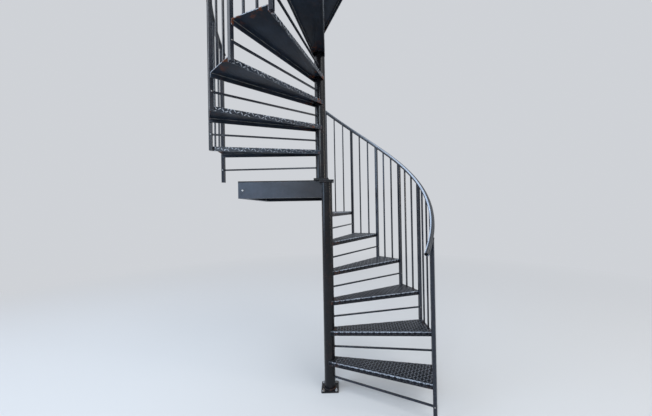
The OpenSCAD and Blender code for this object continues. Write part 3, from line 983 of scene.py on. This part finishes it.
def tread_welds(flight):
    def build(bm):
        for k in range(1, flight.count + 1):
            middle, z = flight.tread_middle(k), flight.level(k)
            for level, name in ((z, "tread_top"), (z - PLATE_T, "tread_under")):
                bead(bm, arc(flight.axis, COLUMN_R + COLUMN_OFF, level,
                             middle - TREAD_BEAD_REACH, middle + TREAD_BEAD_REACH),
                     BEAD_R[name])
            for rear in (False, True):
                for along, off, high, low, name in LIP_BEADS:
                    bead(bm, [tread_point(flight, k, along, off, drop, rear)
                              for drop in (high, low)], BEAD_R[name])
    return build


def upright_welds(flight):
    """Beads at both ends of the balusters and riser bars and at the tops of the posts."""
    def weld(bm, ring, angle, side, height, name):
        bead(bm, upright_loop(flight, ring, angle, side, height), BEAD_R[name], True)

    def build(bm):
        for k in range(1, flight.post_count + 1):
            a = flight.post_angle(k)
            weld(bm, POST_RING, a, POST_SIDE, saddle_height(flight, a, POST_RING), "post_top")
            if k > flight.count:
                continue
            for j in (1, 2):
                b = a + j * STEP / 3
                foot = flight.level(k)
                weld(bm, BALUSTER_RING, b, BALUSTER_SIDE, lambda dx, dy: foot, "baluster_foot")
                weld(bm, BALUSTER_RING, b, BALUSTER_SIDE,
                     saddle_height(flight, b, BALUSTER_RING), "baluster_top")
            bar_welds(bm, flight, k)
        if flight.is_lower:
            weld(bm, POST_RING, flight.post_angle(flight.post_count), POST_SIDE,
                 lambda dx, dy: LANDING_Z, "post_foot")
    return build


def bar_welds(bm, flight, k):
    """Beads round both ends of a riser bar."""
    a, z = flight.post_angle(k), flight.bar_z(k)
    c, s = math.cos(a), math.sin(a)
    for at_post, name in ((False, "bar_column"), (True, "bar_post")):
        loop = []
        for y, h in round_square(BAR_SIDE, ROUND_BAR):
            if at_post:
                x = POST_RING - POST_HALF - POST_FACE_OFF
            else:
                x = math.sqrt((COLUMN_R + THIN_COLUMN_OFF) ** 2 - y * y)
            loop.append(flight.axis + Vector((x * c - y * s, x * s + y * c, z + h)))
        bead(bm, loop, BEAD_R[name], True)


def column_welds(bm):
    low, high = LOWER.axis, UPPER.axis
    last = RING_POINTS - 1
    for axis, z in ((low, BASE_T), (low, SPLICE_LOW), (high, SPLICE_TOP)):
        bead(bm, arc(axis, COLUMN_R + COLUMN_OFF, z, 0, 2 * math.pi * last / RING_POINTS, last),
             BEAD_R["column"], True)
    bead(bm, arc(high, COLUMN_R + THIN_COLUMN_OFF, TOP_Z, *TOP_BEAD_ENDS, 60),
         BEAD_R["top_deck"])
    # Along the upper plate's edges on the lower plate and on the deck
    half, z = SPLICE_SIDE / 2, LANDING_Z
    left, right = -COLUMN_SHIFT - half, half - COLUMN_SHIFT
    bead(bm, [(right, -half, z), (right, half, z)], BEAD_R["splice"])
    bead(bm, [(-half, half, z), (left, half, z), (left, -FRONT_Y, z)], BEAD_R["splice"])


def guard_welds(bm):
    for x, y, side in guard_feet():
        name = "guard_post" if side == POST_SIDE else "guard_baluster"
        bead(bm, [Vector((x + dx, y + dy, TOP_Z)) for dx, dy in round_square(side, ROUND_BAR)],
             BEAD_R[name], True)


for flight in (LOWER, UPPER):
    piece(flight.name + "_tread_welds", WELD_PAINT, tread_welds(flight),
          WELD_SHARP)
    piece(flight.name + "_guard_welds", WELD_PAINT, upright_welds(flight),
          WELD_SHARP)
piece("column_welds", WELD_PAINT, column_welds, WELD_SHARP)
piece("top_guard_welds", WELD_PAINT, guard_welds, WELD_SHARP)


# Bolts, anchors and the small screws at the riser bars
ANCHOR_ACROSS = 0.017
ANCHOR_STUB = 0.009
CLIP_BOLT_ACROSS = 0.013
CLIP_BOLT_IN = 0.037  # from the side wall
SCREW_HEAD = ((0.0046, -0.0002), (0.0044, 0.0009), (0.0034, 0.0021), (0.0016, 0.0027))


def turned(bm, place, axis, profile, sides=24, across=None):
    """A turned body: profile holds (radius, height) pairs. Where across is given, a hexagon of
    that width over its flats cuts what is wider."""
    side, other, axis = spin_frame(axis)
    place = Vector(place)
    rings = []
    for r, h in profile:
        ring = []
        for i in range(sides):
            q = 2 * math.pi * i / sides
            radius = r
            if across and r > across / 2:
                fold = (q + math.pi / 6) % (math.pi / 3) - math.pi / 6
                radius = min(r, across / 2 / math.cos(fold))
            ring.append(place + radius * (math.cos(q) * side + math.sin(q) * other) + h * axis)
        rings.append(ring)
    skin(bm, rings)


def hex_bolt(bm, place, axis, across, stub=0.0):
    """A washer and a hexagon head or nut, seated at place and pointing along axis; stub is the
    thread that shows beyond it."""
    washer, corner, thread = across * 0.66, across * 0.578, across * 0.31
    high = across * 0.42
    turned(bm, place, axis, ((washer, -0.0002), (washer, 0.0014), (washer - 0.0005, 0.0019)))
    turned(bm, place, axis, ((across * 0.57, 0.0017), (corner, 0.0022), (corner, high - 0.0009),
                             (across * 0.48, high)), across=across)
    if stub:
        turned(bm, place, axis, ((thread, high - 0.001), (thread, high + stub - 0.001),
                                 (across * 0.26, high + stub)), 16)


def base_anchors(bm):
    reach = BASE_SIDE / 2 - HOLE_MARGIN
    for x in (-reach, reach):
        for y in (-reach, reach):
            hex_bolt(bm, (x, y, BASE_T), UP, ANCHOR_ACROSS, ANCHOR_STUB)


def landing_bolts(bm):
    z = LANDING_Z - DECK_T - CHANNEL_H / 2
    hex_bolt(bm, (-WALL_X + CLIP_BOLT_IN, -FRONT_Y, z), (0, -1, 0), CLIP_BOLT_ACROSS)


def bar_screws(flight):
    """A round-headed screw in the post at each riser bar, on both tangential faces."""
    def build(bm):
        for k in range(1, flight.count + 1):
            a = flight.post_angle(k)
            for way in (-1, 1):
                axis = Vector((-math.sin(a), math.cos(a), 0)) * way
                place = flight.at(POST_RING, a, flight.bar_z(k)) + axis * POST_HALF
                turned(bm, place, axis, SCREW_HEAD, 16)
    return build


piece("base_anchors", BOLT_METAL, base_anchors, BOLT_SHARP)
piece("landing_bolts", BOLT_METAL, landing_bolts, BOLT_SHARP)
for flight in (LOWER, UPPER):
    piece(flight.name + "_bar_screws", BOLT_METAL, bar_screws(flight), BOLT_SHARP)


# The stage: floor, sky and lamps
SKY = (0.92, 0.95, 1.0)
SKY_LEVEL = 0.68
FLOOR_COLOUR = (0.66, 0.67, 0.68, 1)
FLOOR_HALF = 30
FLOOR_FADE = (1.6, 7.0)  # distances between which the floor turns into the sky's colour


def floor_material():
    """Pale floor that, seen from the camera or in a reflection, fades into the sky far off."""
    s = Shader("floor_pale")
    s.set(Base_Color=FLOOR_COLOUR, Roughness=0.9)
    rays = s.node("ShaderNodeLightPath").outputs
    seen = s.plus(rays["Is Camera Ray"], rays["Is Glossy Ray"])
    seen = s.plus(seen, rays["Is Transmission Ray"], True)
    horizon = s.node("ShaderNodeEmission")
    horizon.inputs["Color"].default_value = (*SKY, 1)
    horizon.inputs["Strength"].default_value = SKY_LEVEL
    blend = s.node("ShaderNodeMixShader")
    s.plug(blend.inputs[0], s.times(s.remap(s.length(s.coord), *FLOOR_FADE), seen))
    s.plug(blend.inputs[1], s.bsdf.outputs["BSDF"])
    s.plug(blend.inputs[2], horizon.outputs[0])
    s.plug(s.out.inputs["Surface"], blend.outputs[0])
    return s.material


def add_floor():
    mesh = bpy.data.meshes.new("floor")
    bm = bmesh.new()
    bmesh.ops.create_grid(bm, x_segments=1, y_segments=1, size=FLOOR_HALF)
    bm.to_mesh(mesh)
    bm.free()
    mesh.materials.append(floor_material())
    floor = put("floor", mesh)


def add_sky():
    world = bpy.data.worlds.new("studio")
    bpy.context.scene.world = world
    world.use_nodes = True
    sky = world.node_tree.nodes["Background"]
    sky.inputs["Color"].default_value = (*SKY, 1)
    sky.inputs["Strength"].default_value = SKY_LEVEL


def add_lamp(name, place, target_x, target_z, wide, tall, power, colour=(1, 1, 1)):
    """An area lamp, wide by tall, aimed at a point over the floor's X axis."""
    data = bpy.data.lights.new(name, "AREA")
    data.shape = "RECTANGLE"
    data.size = wide
    data.size_y = tall
    data.energy = power
    data.color = colour
    lamp = put(name, data)
    lamp.location = place
    aim = Vector((target_x, 0, target_z)) - Vector(place)
    lamp.rotation_euler = aim.to_track_quat("-Z", "Y").to_euler()


add_floor()
add_sky()
add_lamp("key", (3.5, -3.0, 6.5), 0, 1.8, 4.0, 4.0, 130)
add_lamp("fill", (-4.5, -1.0, 5.0), 0, 2.0, 4.0, 4.0, 70, (0.9, 0.95, 1.0))
add_lamp("front", (-1.5, -6.0, 4.2), 0.2, 1.6, 2.4, 2.4, 170, (0.80, 0.90, 1.0))
add_lamp("strip_left", (-7.4, -2.0, 3.0), 0, 2.4, 5.2, 4.4, 300, (0.55, 0.74, 1.0))
add_lamp("strip_right", (7.6, -2.4, 2.7), 0, 2.4, 0.6, 4.4, 110, (1.0, 0.92, 0.80))


# The camera, fitted to the photograph's points in a frame of 652 x 416
FRAME_W = 652
FOCAL = 269.95     # in pixels of that frame
CENTRE_X = 342.43
SENSOR = 36
CAMERA_AT = (0.085, -2.2419, 1.473)
YAW, PITCH, ROLL = (math.radians(a) for a in (-1.0885, 0.2581, -1.0342))


def camera_turn():
    """The camera's turn: its right, top and back as columns."""
    ahead = Vector((-math.sin(YAW) * math.cos(PITCH), math.cos(YAW) * math.cos(PITCH),
                    math.sin(PITCH)))
    level_side = Vector((math.cos(YAW), math.sin(YAW), 0))
    level_top = level_side.cross(ahead)
    right = math.cos(ROLL) * level_side + math.sin(ROLL) * level_top
    top = math.cos(ROLL) * level_top - math.sin(ROLL) * level_side
    return Matrix((right, top, -ahead)).transposed()


lens = bpy.data.cameras.new("camera")
lens.sensor_width = SENSOR
lens.lens = FOCAL / FRAME_W * SENSOR
lens.shift_x = (FRAME_W / 2 - CENTRE_X) / FRAME_W
lens.clip_start = 0.05
camera = put("camera", lens)
camera.matrix_world = Matrix.Translation(CAMERA_AT) @ camera_turn().to_4x4()
bpy.context.scene.camera = camera
bpy.context.scene.view_settings.view_transform = "Standard"
